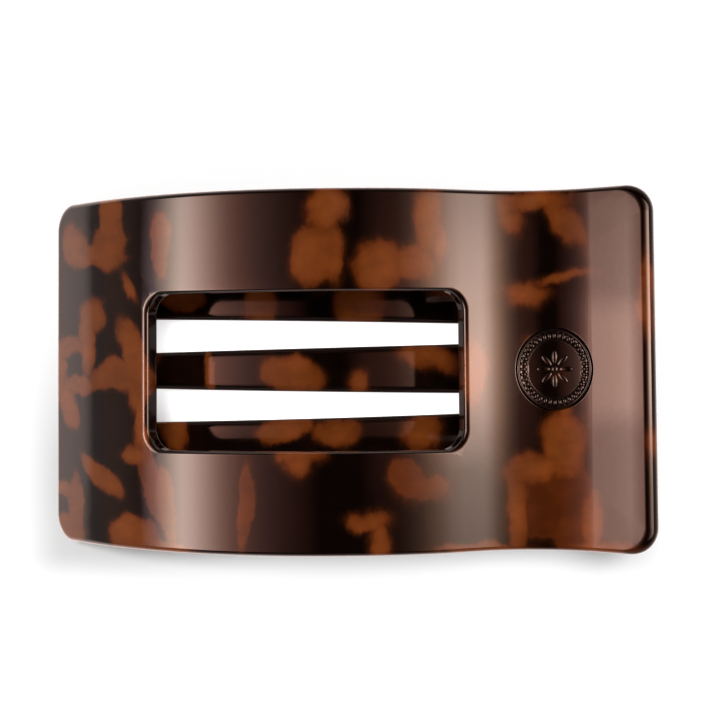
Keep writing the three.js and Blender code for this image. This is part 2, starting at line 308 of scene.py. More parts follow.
def thicken(thickness):
    """In edit mode, raises a flat outline to a sheet."""
    bpy.ops.mesh.select_all(action="SELECT")
    bpy.ops.mesh.extrude_region_move(TRANSFORM_OT_translate={"value": (0, 0, thickness * MM)})
    bpy.ops.mesh.select_all(action="SELECT")
    bpy.ops.mesh.normals_make_consistent(inside=False)


def round_rims(piece, rounding, passes=lambda edge: True):
    """Rounds over the rims of a flat sheet, or those that pass a test."""
    pick(piece, "EDGE", lambda edge: is_sharp_rim(edge) and passes(edge))
    bpy.ops.mesh.bevel(
        offset=rounding * MM, segments=EDGE_SEGMENTS, affect="EDGES", clamp_overlap=False
    )


def is_sharp_rim(edge):
    level = abs(edge.verts[0].co.z - edge.verts[1].co.z) < 1e-7
    return level and is_sharp(edge)


def cut_creases(line, start=0.0, end=None):
    end = line.length if end is None else end
    bpy.ops.mesh.select_mode(type="VERT")
    for station in line.creases():
        if start < station < end:
            bpy.ops.mesh.select_all(action="SELECT")
            bpy.ops.mesh.bisect(plane_co=(station, 0, 0), plane_no=(1, 0, 0))


def bend_along(piece, line):
    """Bends a flat piece, whose x is a length along the line, into its place."""
    step = 0.2 * MM
    points = line.even_points(step)
    guide_data = bpy.data.curves.new("bend_guide", "CURVE")
    guide_data.dimensions = "3D"
    guide_data.twist_mode = "Z_UP"
    spline = guide_data.splines.new("POLY")
    spline.points.add(len(points) - 1)
    for point, (x, z) in zip(spline.points, points):
        point.co = (x, 0, z, 1)
    guide = bpy.data.objects.new("bend_guide", guide_data)
    bpy.context.scene.collection.objects.link(guide)
    apply_modifier(piece, "CURVE", object=guide, deform_axis="POS_X")
    bpy.data.objects.remove(guide)
    bpy.data.curves.remove(guide_data)


def smooth_finish(piece):
    deselect_all()
    piece.select_set(True)
    bpy.context.view_layer.objects.active = piece
    bpy.ops.object.shade_smooth()
    apply_modifier(piece, "WEIGHTED_NORMAL", mode="FACE_AREA_WITH_ANGLE", weight=80)


# ---- The plate ----

def make_plate():
    half = PLATE_THICKNESS / 2
    length = plate_line.length / MM
    plate = start_flat_piece("shell_plate")
    add_flat_rectangle(-PLATE_OVERHANG, length + PLATE_OVERHANG, PLATE_WIDTH, -half)
    round_corners(PLATE_CORNER)
    add_flat_rectangle(WINDOW_START, WINDOW_END, WINDOW_WIDTH, -half)
    round_corners(WINDOW_CORNER)
    bpy.ops.mesh.select_all(action="SELECT")
    bpy.ops.mesh.delete(type="ONLY_FACE")
    bpy.ops.mesh.select_all(action="SELECT")
    bpy.ops.mesh.bridge_edge_loops()
    thicken(PLATE_THICKNESS)
    round_rims(plate, WINDOW_ROUNDING, is_window_rim)
    round_rims(plate, PLATE_ROUNDING)
    done()
    sink_recess(plate)
    edit()
    cut_creases(plate_line)
    done()
    bend_along(plate, plate_line)
    smooth_finish(plate)
    return plate


def is_window_rim(edge, margin=0.1):
    point = edge_middle(edge)
    along = WINDOW_START - margin < point.x / MM < WINDOW_END + margin
    return along and abs(point.y / MM) < WINDOW_WIDTH / 2 + margin


def sink_recess(plate):
    """A round recess for the medallion, with a soft lip."""
    top = PLATE_THICKNESS / 2 * MM
    floor = top - RECESS_DEPTH * MM
    middle = MEDALLION_STATION * MM
    deselect_all()
    bpy.ops.mesh.primitive_cylinder_add(
        vertices=DISC_SEGMENTS, radius=RECESS_RADIUS * MM, depth=CUTTER_HEIGHT * MM,
        location=(middle, 0, floor + CUTTER_HEIGHT / 2 * MM),
    )
    cutter = named("recess_cutter")
    apply_modifier(plate, "BOOLEAN", object=cutter, operation="DIFFERENCE", solver="EXACT")
    bpy.data.objects.remove(cutter)

    def is_lip(edge):
        point = edge_middle(edge)
        from_centre = math.hypot(point.x - middle, point.y)
        on_circle = abs(from_centre - RECESS_RADIUS * MM) < 0.05 * MM
        return on_circle and abs(point.z - top) < 1e-6 and is_sharp(edge)

    edit()
    pick(plate, "EDGE", is_lip)
    bpy.ops.mesh.bevel(
        offset=RECESS_LIP * MM, segments=LIP_SEGMENTS, affect="EDGES", clamp_overlap=False
    )
    done()


# ---- The fork ----

def make_fork():
    half = FORK_THICKNESS / 2
    length = fork_line.length / MM + PAD_OVERHANG
    fork = start_flat_piece("shell_fork")
    add_flat_rectangle(0, length, 2 * TIP_HALF_WIDTH, -half)
    widen_fork(fork, length)
    for side in (-1, 1):
        cut_slot(fork, side * TINE_PITCH / 2)
    round_fork_corners(fork, length)
    thicken(FORK_THICKNESS)
    round_rims(fork, FORK_ROUNDING)
    cut_creases(fork_line)
    done()
    bend_along(fork, fork_line)
    rest_on_floor(fork)
    smooth_finish(fork)
    return fork


def widen_fork(fork, length):
    """Tapers the tines' outer sides, and swells the shoulders out to the pad."""
    steps = 8
    reach = PAD_STATION - SHOULDER_STATION
    shoulder = [SHOULDER_STATION + reach * i / steps for i in range(steps + 1)]
    for station in shoulder:
        bpy.ops.mesh.select_all(action="SELECT")
        bpy.ops.mesh.bisect(plane_co=(station * MM, 0, 0), plane_no=(1, 0, 0))
    for i, station in enumerate(shoulder + [length]):
        share = min(i / steps, 1)
        swell = share * share * (3 - 2 * share)
        width = ROOT_HALF_WIDTH + (PAD_HALF_WIDTH - ROOT_HALF_WIDTH) * swell
        pick(fork, "VERT", lambda vert: abs(vert.co.x - station * MM) < 1e-5)
        bpy.ops.transform.resize(value=(1, width / TIP_HALF_WIDTH, 1), center_override=(0, 0, 0))


def cut_slot(fork, middle_y):
    """Cuts one slot between two tines: tapered sides, and a root for rounding later."""
    root = SLOT_ROOT_STATION
    taper = (SLOT_TIP_WIDTH - SLOT_ROOT_WIDTH) / 2 / root
    for side in (-1, 1):
        bpy.ops.mesh.select_all(action="SELECT")
        tip_y = middle_y + side * SLOT_TIP_WIDTH / 2
        bpy.ops.mesh.bisect(plane_co=(0, tip_y * MM, 0), plane_no=(side * taper, 1, 0))
    bpy.ops.mesh.select_all(action="SELECT")
    bpy.ops.mesh.bisect(plane_co=(root * MM, 0, 0), plane_no=(1, 0, 0))

    def is_in_slot(face):
        centre = face.calc_center_median()
        width = SLOT_TIP_WIDTH / 2 - taper * centre.x / MM
        return centre.x < root * MM and abs(centre.y / MM - middle_y) < width

    pick(fork, "FACE", is_in_slot)
    bpy.ops.mesh.delete(type="FACE")


def round_fork_corners(fork, length):
    """Rounds the pad's corners, the tips of the tines and the roots of the slots."""
    bpy.ops.mesh.select_mode(type="VERT")
    bpy.ops.mesh.select_all(action="SELECT")
    bpy.ops.mesh.dissolve_limited(angle_limit=math.radians(FLAT_ANGLE))

    def at(station):
        return lambda vert: abs(vert.co.x - station * MM) < 1e-5

    def at_root(vert):
        from_middle = abs(abs(vert.co.y / MM) - TINE_PITCH / 2)
        on_wall = abs(from_middle - SLOT_ROOT_WIDTH / 2) < 0.05
        return at(SLOT_ROOT_STATION)(vert) and on_wall

    pick(fork, "VERT", at_root)
    round_corners(SLOT_ROOT_WIDTH / 2 * ROOT_ROUNDING_SHARE)
    pick(fork, "VERT", at(0))
    round_corners(TINE_CORNER)
    pick(fork, "VERT", at(length))
    round_corners(PAD_CORNER)


def rest_on_floor(fork):
    """Flattens the feet, where the fork rests on the ground."""
    edit()
    pick(fork, "VERT", lambda vert: vert.co.z < 0)
    bpy.ops.transform.resize(value=(1, 1, 0), center_override=(0, 0, 0))
    done()


# ---- The medallion ----

MEDALLION_GAP = 0.07
MEDALLION_HEIGHT = 1.0
# The disc's profile as steps inwards and up, from its rim to its field.
MEDALLION_RIM = [
    (0.08, 0.10), (0.10, 0.07), (0.12, 0.0), (0.10, -0.07), (0.08, -0.16), (1.02, 0.0),
    (0.06, 0.10), (0.08, 0.04), (0.08, -0.04), (0.06, -0.10),
]
BEAD_COUNT = 40
BEAD_CIRCLE = 4.88
BEAD_SIZE = (0.46, 0.33, 0.30)
PETAL_COUNT = 8
PETAL_CIRCLE = 1.75
PETAL_SIZE = (1.1, 0.46, 0.3)
DOME_SIZE = (0.55, 0.55, 0.34)


def make_medallion():
    radius = RECESS_RADIUS - MEDALLION_GAP
    floor = PLATE_THICKNESS / 2 - RECESS_DEPTH
    middle = MEDALLION_STATION
    deselect_all()
    bpy.ops.mesh.primitive_circle_add(
        vertices=DISC_SEGMENTS, radius=radius * MM, fill_type="NGON",
        location=(middle * MM, 0, floor * MM),
    )
    medallion = named("medallion_disc")
    bpy.ops.object.transform_apply(location=True, rotation=False, scale=False)
    edit()
    rise = (0, 0, MEDALLION_HEIGHT * MM)
    bpy.ops.mesh.extrude_region_move(TRANSFORM_OT_translate={"value": rise})
    for inwards, up in MEDALLION_RIM:
        bpy.ops.mesh.inset(thickness=inwards * MM, depth=up * MM)
    field = floor + MEDALLION_HEIGHT + sum(up for _, up in MEDALLION_RIM)
    bpy.ops.mesh.select_all(action="SELECT")
    bpy.ops.mesh.normals_make_consistent(inside=False)
    add_beads(middle, field)
    add_rosette(middle, field)
    reach = RECESS_RADIUS + 1
    cut_creases(plate_line, (middle - reach) * MM, (middle + reach) * MM)
    done()
    bend_along(medallion, plate_line)
    smooth_finish(medallion)
    return medallion


def add_dome(centre, size, segments, rings):
    """In edit mode, adds an ellipsoid and leaves it selected."""
    bpy.ops.mesh.select_all(action="DESELECT")
    bpy.ops.mesh.primitive_uv_sphere_add(
        segments=segments, ring_count=rings, radius=MM, location=centre
    )
    bpy.ops.transform.resize(value=size, center_override=centre)


def repeat_round(centre, count):
    """In edit mode, copies what is selected round a centre, to make so many in all."""
    for _ in range(count - 1):
        bpy.ops.mesh.duplicate()
        turn = 2 * math.pi / count
        bpy.ops.transform.rotate(value=turn, orient_axis="Z", center_override=centre)


def add_beads(middle, field):
    """A ring of small beads inside the medallion's lip."""
    add_dome(((middle + BEAD_CIRCLE) * MM, 0, field * MM), BEAD_SIZE, 14, 10)
    repeat_round((middle * MM, 0, field * MM), BEAD_COUNT)


def add_rosette(middle, field):
    """Low petals round a dome, standing on the medallion's field."""
    centre = (middle * MM, 0, field * MM)
    add_dome(((middle + PETAL_CIRCLE) * MM, 0, field * MM), PETAL_SIZE, 20, 12)
    repeat_round(centre, PETAL_COUNT)
    add_dome(centre, DOME_SIZE, 24, 12)


# ---- Lugs, pin and spring ----

def make_lug(node, name, line, up):
    """A lug with softened edges, whose base is sunk into its sheet."""
    deselect_all()
    lug = bpy.data.objects.new(name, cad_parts[node].data.copy())
    bpy.context.scene.collection.objects.link(lug)
    lug.data.name = name
    lug.data.materials.clear()
    bpy.context.view_layer.objects.active = lug
    lug.select_set(True)
    step = 0.25 * MM
    sheet_points = line.even_points(step)
    edit()
    bpy.ops.mesh.remove_doubles(threshold=1e-6)
    bpy.ops.mesh.dissolve_limited(angle_limit=math.radians(FLAT_ANGLE))

    def is_on_base(vert):
        reach = min(math.hypot(vert.co.x - x, vert.co.z - z) for x, z in sheet_points)
        return reach < LUG_BASE_REACH * MM

    pick(lug, "EDGE", lambda edge: is_sharp(edge, 30) and not all(map(is_on_base, edge.verts)))
    bpy.ops.mesh.bevel(offset=LUG_SOFTENING * MM, segments=3, affect="EDGES")
    pick(lug, "VERT", is_on_base)
    bpy.ops.transform.translate(value=(0, 0, up * LUG_SINK * MM))
    done()
    bpy.ops.object.shade_smooth_by_angle(angle=math.radians(SMOOTH_ANGLE))
    return lug


def make_pin():
    """The hinge pin, with a rounded, dimpled head at each end.

    A known fault: the front head's underside faces the rear as the rear end does, so the
    second turn of the loop also grows a wider disc round the front head.
    """
    deselect_all()
    bpy.ops.mesh.primitive_cylinder_add(
        vertices=48, radius=PIN_RADIUS * MM, depth=2 * PIN_HEAD_START * MM,
        location=pin_centre, rotation=(math.radians(90), 0, 0),
    )
    pin = named("steel_pin")
    bpy.ops.object.transform_apply(location=True, rotation=True, scale=False)
    edit()
    for side in (-1, 1):
        end = (pin_centre.x, side * PIN_HEAD_START * MM, pin_centre.z)
        pick(pin, "FACE", lambda face: face.normal.y * side > 0.9)
        bpy.ops.mesh.extrude_region_move(TRANSFORM_OT_translate={"value": (0, 0, 0)})
        spread = PIN_HEAD_RADIUS / PIN_RADIUS
        bpy.ops.transform.resize(value=(spread, 1, spread), center_override=end)
        lift = (0, side * (PIN_HEAD_THICKNESS - PIN_HEAD_ROUNDING) * MM, 0)
        bpy.ops.mesh.extrude_region_move(TRANSFORM_OT_translate={"value": lift})
        for inwards, out in PIN_HEAD_END:
            bpy.ops.mesh.inset(thickness=inwards * MM, depth=out * MM)
    bpy.ops.mesh.select_all(action="SELECT")
    bpy.ops.mesh.normals_make_consistent(inside=False)
    done()
    bpy.ops.object.shade_smooth_by_angle(angle=math.radians(SMOOTH_ANGLE))
    return pin


def spring_leg(target, side):
    """The angle and length of a leg that runs off the coil to where its end bears."""
    x, z = target[0] - pin_centre.x, target[1] - pin_centre.z
    reach = math.hypot(x, z)
    angle = math.atan2(z, x) % (2 * math.pi) - side * math.asin(COIL_RADIUS * MM / reach)
    return angle, math.sqrt(reach * reach - (COIL_RADIUS * MM) ** 2)


def spring_points():
    bearing = WIRE_RADIUS + LEG_GAP
    plate_end = plate_line.at(PLATE_LEG_STATION * MM, -(PLATE_THICKNESS / 2 + bearing) * MM)
    pad_end = fork_line.at(PAD_LEG_STATION * MM, (FORK_THICKNESS / 2 + bearing) * MM)
    plate_angle, plate_length = spring_leg(plate_end, 1)
    pad_angle, pad_length = spring_leg(pad_end, -1)
    first = plate_angle + math.pi / 2
    last = pad_angle - math.pi / 2 + 2 * math.pi * COIL_TURNS

    def on_coil(angle):
        share = (angle - first) / (last - first)
        x = pin_centre.x + COIL_RADIUS * MM * math.cos(angle)
        z = pin_centre.z + COIL_RADIUS * MM * math.sin(angle)
        return Vector((x, COIL_HALF_LENGTH * MM * (2 * share - 1), z))

    def off_coil(angle, leg_angle, length):
        return on_coil(angle) + length * Vector((math.cos(leg_angle), 0, math.sin(leg_angle)))

    steps = 220
    leg_steps = 8
    legs = [i / leg_steps for i in range(leg_steps, 0, -1)]
    points = [off_coil(first, plate_angle, plate_length * share) for share in legs]
    points += [on_coil(first + (last - first) * i / steps) for i in range(steps + 1)]
    points += [off_coil(last, pad_angle, pad_length * share) for share in reversed(legs)]
    return points


def make_spring():
    points = spring_points()
    wire_data = bpy.data.curves.new("spring_wire", "CURVE")
    wire_data.dimensions = "3D"
    wire_data.bevel_depth = WIRE_RADIUS * MM
    wire_data.bevel_resolution = 4
    wire_data.use_fill_caps = True
    spline = wire_data.splines.new("POLY")
    spline.points.add(len(points) - 1)
    for point, place in zip(spline.points, points):
        point.co = (*place, 1)
    wire = bpy.data.objects.new("spring_wire", wire_data)
    bpy.context.scene.collection.objects.link(wire)
    deselect_all()
    bpy.context.view_layer.objects.active = wire
    wire.select_set(True)
    bpy.ops.object.convert(target="MESH")
    spring = named("steel_spring")
    edit()
    bpy.ops.mesh.remove_doubles(threshold=1e-6)
    bpy.ops.mesh.normals_make_consistent(inside=False)
    done()
    bpy.ops.object.shade_smooth_by_angle(angle=math.radians(SMOOTH_ANGLE))
    return spring


# ---- Materials ----

# In metres.
BUMP_DISTANCE = 0.00002
# In millimetres, how far patches of amber, and islands in them, melt into each other.
PATCH_BLEND = 0.6
ISLAND_BLEND = 0.5


class Nodes:
    """A short way to add and join shader nodes."""

    def __init__(self, material):
        self.tree = material.node_tree
        self.tree.nodes.clear()

    def add(self, kind, **settings):
        node = self.tree.nodes.new(kind)
        for key, value in settings.items():
            setattr(node, key, value)
        return node

    def join(self, output, socket):
        self.tree.links.new(output, socket)

    def fill(self, sockets, values):
        for socket, value in zip(sockets, values):
            if hasattr(value, "links"):
                self.join(value, socket)
            elif value is not None:
                socket.default_value = value

    def maths(self, operation, *values):
        node = self.add("ShaderNodeMath", operation=operation)
        self.fill(node.inputs, values)
        return node.outputs[0]

    def vector(self, operation, *values):
        node = self.add("ShaderNodeVectorMath", operation=operation)
        self.fill(node.inputs, values)
        return node.outputs["Value" if operation == "LENGTH" else "Vector"]

    def noise(self, vector, scale, detail=2, roughness=0.5):
        node = self.add("ShaderNodeTexNoise")
        self.join(vector, node.inputs["Vector"])
        node.inputs["Scale"].default_value = scale
        node.inputs["Detail"].default_value = detail
        node.inputs["Roughness"].default_value = roughness
        return node

    def remap(self, value, low, high, new_low, new_high, smooth=False):
        node = self.add("ShaderNodeMapRange")
        node.interpolation_type = "SMOOTHSTEP" if smooth else "LINEAR"
        self.fill(node.inputs, (value, low, high, new_low, new_high))
        return node.outputs[0]

    def ramp(self, value, stops):
        node = self.add("ShaderNodeValToRGB")
        self.join(value, node.inputs[0])
        elements = node.color_ramp.elements
        while len(elements) < len(stops):
            elements.new(0.5)
        for element, (position, colour) in zip(elements, stops):
            element.position = position
            element.color = (*colour, 1)
        return node.outputs[0]

    def mix(self, share, first, second):
        node = self.add("ShaderNodeMix", data_type="RGBA")
        self.fill(node.inputs[:1], (share,))
        self.fill(node.inputs[6:8], (first, second))
        return node.outputs[2]

    def scaled(self, vector, factor):
        node = self.add("ShaderNodeVectorMath", operation="SCALE")
        self.fill((node.inputs[0], node.inputs["Scale"]), (vector, factor))
        return node.outputs["Vector"]

    def axes(self, vector):
        """The x, y and z of a vector."""
        node = self.add("ShaderNodeSeparateXYZ")
        self.join(vector, node.inputs[0])
        return node.outputs

    def surface(self, roughness, height, strength):
        """A surface with some roughness, and fine bumps by a height."""
        bump = self.add("ShaderNodeBump")
        bump.inputs["Strength"].default_value = strength
        bump.inputs["Distance"].default_value = BUMP_DISTANCE
        self.join(height, bump.inputs["Height"])
        node = self.add("ShaderNodeBsdfPrincipled")
        self.join(roughness, node.inputs["Roughness"])
        self.join(bump.outputs[0], node.inputs["Normal"])
        self.output(node.outputs[0])
        return node

    def millimetres(self):
        coordinates = self.add("ShaderNodeTexCoord")
        return self.vector("MULTIPLY", coordinates.outputs["Object"], (1000, 1000, 1000))

    def output(self, shader, name="ShaderNodeOutputMaterial"):
        self.join(shader, self.add(name).inputs["Surface"])


def new_material(name):
    material = bpy.data.materials.new(name)
    material.use_nodes = True
    return material, Nodes(material)


def distance_to_patches(nodes, place, patches):
    """The depth outside some ellipses, in millimetres, blended where they meet."""
    nearest = None
    for x, y, long_half, wide_half, turn, *shallowest in patches:
        mapping = nodes.add("ShaderNodeMapping", vector_type="TEXTURE")
        nodes.join(place, mapping.inputs["Vector"])
        mapping.inputs["Location"].default_value = (x, y, 0)
        mapping.inputs["Rotation"].default_value = (0, 0, math.radians(turn))
        mapping.inputs["Scale"].default_value = (long_half, wide_half, 1)
        span = math.sqrt(long_half * wide_half)
        round_distance = nodes.vector("LENGTH", mapping.outputs[0])
        distance = nodes.maths("MULTIPLY_ADD", round_distance, span, -span)
        if shallowest:
            distance = nodes.maths("MAXIMUM", distance, shallowest[0])
        if nearest is None:
            nearest = distance
        else:
            nearest = nodes.maths("SMOOTH_MIN", nearest, distance, PATCH_BLEND)
    return nearest


# The shell's colour, from the heart of its amber to its darkest brown.
SHELL_STOPS = [
    (0.00, (0.155, 0.0370, 0.0070)),
    (0.34, (0.130, 0.0280, 0.0048)),
    (0.50, (0.080, 0.0160, 0.0028)),
    (0.62, (0.0280, 0.0060, 0.0014)),
    (0.80, (0.0070, 0.0022, 0.0009)),
    (1.00, (0.0032, 0.0012, 0.0007)),
]
AMBER_DEPTH = -1.5
BROWN_DEPTH = 1.9
# Between these places along x, from the tip end, the patches turn softer and smaller.
EVEN_FROM = -26
EVEN_TO = 12
TIP_CRISPNESS = 1.6
PRESS_CRISPNESS = 0.8
TIP_GROWTH = 0.45

SHELL_IOR = 1.49
SHELL_ROUGHNESS = (0.035, 0.09)
SCRATCH_ROUGHNESS = 0.03
SHELL_BUMP = 0.12

# How the patches' outlines wander: a noise's scale, detail and roughness, and its reach.
OUTLINE_STRETCH = (1, 0.6, 1)
OUTLINE_WANDER = [
    (0.3, 2, 0.4, (2.4, 2.8, 0)),
    (0.95, 3, 0.6, (0.9, 1.3, 0)),
]

BLOCK_DEPTH = 2.5
STEEL_DARK = (0.42, 0.42, 0.44, 1)
STEEL_PALE = (0.66, 0.66, 0.67, 1)
STEEL_ROUGHNESS = (0.18, 0.36)
STEEL_BUMP = 0.2


def finish_shell(nodes, place, depth):
    """Colours a shell by the depth outside its amber, and gives it a polished, used surface."""
    along = nodes.axes(place)["X"]
    crispness = nodes.remap(along, EVEN_FROM, EVEN_TO, TIP_CRISPNESS, PRESS_CRISPNESS)
    growth = nodes.remap(along, EVEN_FROM, EVEN_TO, TIP_GROWTH, 0)
    depth = nodes.maths("MULTIPLY", nodes.maths("SUBTRACT", depth, growth), crispness)
    shell = nodes.ramp(nodes.remap(depth, AMBER_DEPTH, BROWN_DEPTH, 0, 1), SHELL_STOPS)
    cloud = nodes.noise(place, 0.16, 4, 0.55).outputs[0]
    streak = nodes.noise(nodes.vector("MULTIPLY", place, (0.35, 1.0, 0.6)), 0.5, 3).outputs[0]
    shade = nodes.maths("MULTIPLY_ADD", streak, 0.5, nodes.remap(cloud, 0.3, 0.7, 0.5, 1.05))
    smear = nodes.noise(place, 0.35, 5, 0.6).outputs[0]
    scratch = nodes.noise(nodes.vector("MULTIPLY", place, (0.3, 6.0, 1.0)), 2.2, 2).outputs[0]
    roughness = nodes.remap(smear, 0.35, 0.7, *SHELL_ROUGHNESS)
    roughness = nodes.maths("MULTIPLY_ADD", scratch, SCRATCH_ROUGHNESS, roughness)
    ripple = nodes.noise(place, 1.1, 3).outputs[0]
    surface = nodes.surface(roughness, ripple, SHELL_BUMP)
    surface.inputs["IOR"].default_value = SHELL_IOR
    nodes.join(nodes.scaled(shell, shade), surface.inputs["Base Color"])


def ragged(nodes, place):
    """Wanders a place to and fro, so that the patches in the shell get their ragged edges."""
    stretched = nodes.vector("MULTIPLY", place, OUTLINE_STRETCH)
    for scale, detail, roughness, reach in OUTLINE_WANDER:
        wander = nodes.noise(stretched, scale, detail, roughness).outputs["Color"]
        back = tuple(-part / 2 for part in reach)
        wander = nodes.vector("MULTIPLY_ADD", wander, reach, back)
        place = nodes.vector("ADD", place, wander)
    return place


def sheet_shell(name, amber, dark=()):
    """Tortoiseshell sheet, whose pattern runs right through its thickness."""
    material, nodes = new_material(name)
    flat = nodes.vector("MULTIPLY", nodes.millimetres(), (1, 1, 0))
    place = ragged(nodes, flat)
    depth = distance_to_patches(nodes, place, amber)
    if dark:
        island = nodes.maths("MULTIPLY", distance_to_patches(nodes, place, dark), -1)
        depth = nodes.maths("SMOOTH_MAX", depth, island, ISLAND_BLEND)
    finish_shell(nodes, flat, depth)
    return material


def block_shell(name, brown_below, amber_above):
    """Tortoiseshell block, blotched in all three directions by a noise between two levels."""
    material, nodes = new_material(name)
    place = nodes.millimetres()
    blotch = nodes.noise(place, 0.17, 2, 0.4).outputs[0]
    depth = nodes.remap(blotch, brown_below, amber_above, BLOCK_DEPTH, -BLOCK_DEPTH)
    finish_shell(nodes, place, depth)
    return material


def drawn_steel(name):
    """Bright steel with a fine grain along the pin."""
    material, nodes = new_material(name)
    stretched = nodes.vector("MULTIPLY", nodes.millimetres(), (6.0, 0.6, 6.0))
    grain = nodes.noise(stretched, 1.5, 4).outputs[0]
    surface = nodes.surface(nodes.remap(grain, 0.3, 0.7, *STEEL_ROUGHNESS), grain, STEEL_BUMP)
    surface.inputs["Metallic"].default_value = 1
    nodes.join(nodes.mix(grain, STEEL_DARK, STEEL_PALE), surface.inputs["Base Color"])
    return material


# ---- Studio ----

SOFTBOX_HEIGHT = 150
SOFTBOX_HALF_DEPTH = 140
# Along x, how bright each softbox is: position in millimetres, then red, green and blue.
LEFT_SOFTBOX = [
    (-430, 0.5, 0.3, 0.3), (-381, 1.15, 0.75, 0.76), (-321, 2.2, 1.6, 1.6), (-275, 5.5, 4.0, 3.4),
    (-239, 9.4, 7.0, 5.7), (-209, 12.8, 9.2, 7.9), (-184, 11.6, 8.0, 7.0), (-162, 9.2, 5.8, 4.9),
    (-144, 6.8, 4.0, 3.2), (-127, 4.5, 2.4, 1.9), (-112, 3.0, 1.45, 1.15), (-98, 2.1, 0.92, 0.7),
    (-85, 1.45, 0.63, 0.48), (-74, 1.0, 0.46, 0.37), (-62, 0.70, 0.31, 0.27),
    (-52, 0.48, 0.22, 0.17), (-36, 0.3, 0.1, 0.08), (-16, 0.0, 0.0, 0.0),
]
RIGHT_SOFTBOX = [
    (10, 0.0, 0.0, 0.0), (29, 0.35, 0.12, 0.09), (40, 0.45, 0.16, 0.11), (51, 0.62, 0.24, 0.17),
    (63, 1.15, 0.57, 0.42), (76, 2.3, 1.2, 0.85), (89, 4.2, 2.3, 1.5), (104, 6.4, 3.8, 2.8),
    (120, 9.2, 6.0, 4.7), (138, 11.2, 7.6, 6.1), (150, 12.0, 8.3, 6.9), (190, 11.8, 8.2, 6.9),
    (260, 11.5, 8.2, 7.0),
]
# Along y, the share of its brightness that each softbox keeps.
LEFT_FADE = [
    (-140, 0.6), (-60, 1.02), (-21, 1.0), (-14, 1.6), (14, 1.6), (21, 1.0), (50, 0.86), (75, 0.55),
    (140, 0.3),
]
RIGHT_FADE = [
    (-140, 0.25), (-48, 0.36), (-30, 0.48), (-12, 1.1), (0, 1.3), (12, 1.2), (30, 0.97), (55, 0.6),
    (140, 0.3),
]
FLOOR_HALF_SIZE = 3000
FLOOR_DROP = 0.02
FLOOR_COLOUR = 0.70
# The floor's own glow, away from the clip and under its window: an ellipse's scale in x
# and y, and where its edge starts and ends.
FLOOR_GLOW = 0.30
WINDOW_GLOW = 1.0
WINDOW_GLOW_SCALE = (0.028, 0.055, 0)
WINDOW_GLOW_EDGE = (0.75, 1.15)
# The soft shade by the two ends of the clip's front edge, as stretches of x and y in which
# it comes and goes.
FLOOR_SHADE = 0.30
SHADE_LEAVES_TIP = (-36, -8)
SHADE_REACHES_PRESS_END = (33, 46)
SHADE_LEAVES_SIDES = (45, 53)
SHADE_STARTS_IN_FRONT = (-34.5, -29)
SHADE_LEAVES_BEHIND = (-20, 10)
# The floor as the clip's shine mirrors it: a colour, how bright it is near the clip and far
# from it, and the darker ellipse under the clip.
MIRRORED_FLOOR = (1.0, 0.79, 0.73, 1)
MIRRORED_NEAR = (60, 1.65)
MIRRORED_FAR = (160, 0.35)
FOOTPRINT_SCALE = (0.0185, 0.03, 0)
FOOTPRINT_EDGE = (0.8, 1.0)
FOOTPRINT_LIGHT = 0.25

AMBIENT_LIGHT = 0.42
HORIZON_LIGHT = (0.46, 0.28, 0.24)
HORIZON_BAND = (0.1, 0.5)
SUN_STRENGTH = 2.2
SUN_ANGLE = 11
SUN_TILT = 11

# In metres and degrees.
CAMERA_PLACE = (0.00243, 0.0022, 0.2184)
CAMERA_TILT = 2.2
CAMERA_ROLL = -0.45
CAMERA_LENS = 67.56
CAMERA_SHIFT = -0.0733


def make_ramp(nodes, value, profile):
    """A ramp over a profile of positions and colours, with the brightest part of it."""
    low, high = profile[0][0], profile[-1][0]
    brightest = max(max(colour) for _, *colour in profile)
    share = nodes.remap(value, low, high, 0, 1)
    stops = []
    for position, *colour in profile:
        colour = (colour * 3)[:3]
        stops.append(((position - low) / (high - low), [part / brightest for part in colour]))
    return nodes.ramp(share, stops), brightest


def make_softbox(name, profile, fade):
    """A sheet of light over the clip, seen only in the clip's shine."""
    softbox = start_flat_piece(name)
    add_flat_rectangle(profile[0][0], profile[-1][0], 2 * SOFTBOX_HALF_DEPTH, SOFTBOX_HEIGHT)
    done()
    material, nodes = new_material(name)
    axes = nodes.axes(nodes.millimetres())
    along, brightest = make_ramp(nodes, axes["X"], profile)
    across, fullest = make_ramp(nodes, axes["Y"], fade)
    emission = nodes.add("ShaderNodeEmission")
    nodes.join(nodes.vector("MULTIPLY", along, across), emission.inputs["Color"])
    emission.inputs["Strength"].default_value = brightest * fullest
    nodes.output(emission.outputs[0])
    softbox.data.materials.append(material)
    softbox.visible_camera = False
    softbox.visible_diffuse = False
    softbox.visible_shadow = False


def make_sun():
    """Soft daylight from a little behind the clip, which its shine doesn't mirror."""
    sun_data = bpy.data.lights.new("sun", "SUN")
    sun_data.energy = SUN_STRENGTH
    sun_data.angle = math.radians(SUN_ANGLE)
    sun = bpy.data.objects.new("sun", sun_data)
    sun.rotation_euler = (math.radians(-SUN_TILT), 0, 0)
    sun.visible_glossy = False
    bpy.context.scene.collection.objects.link(sun)


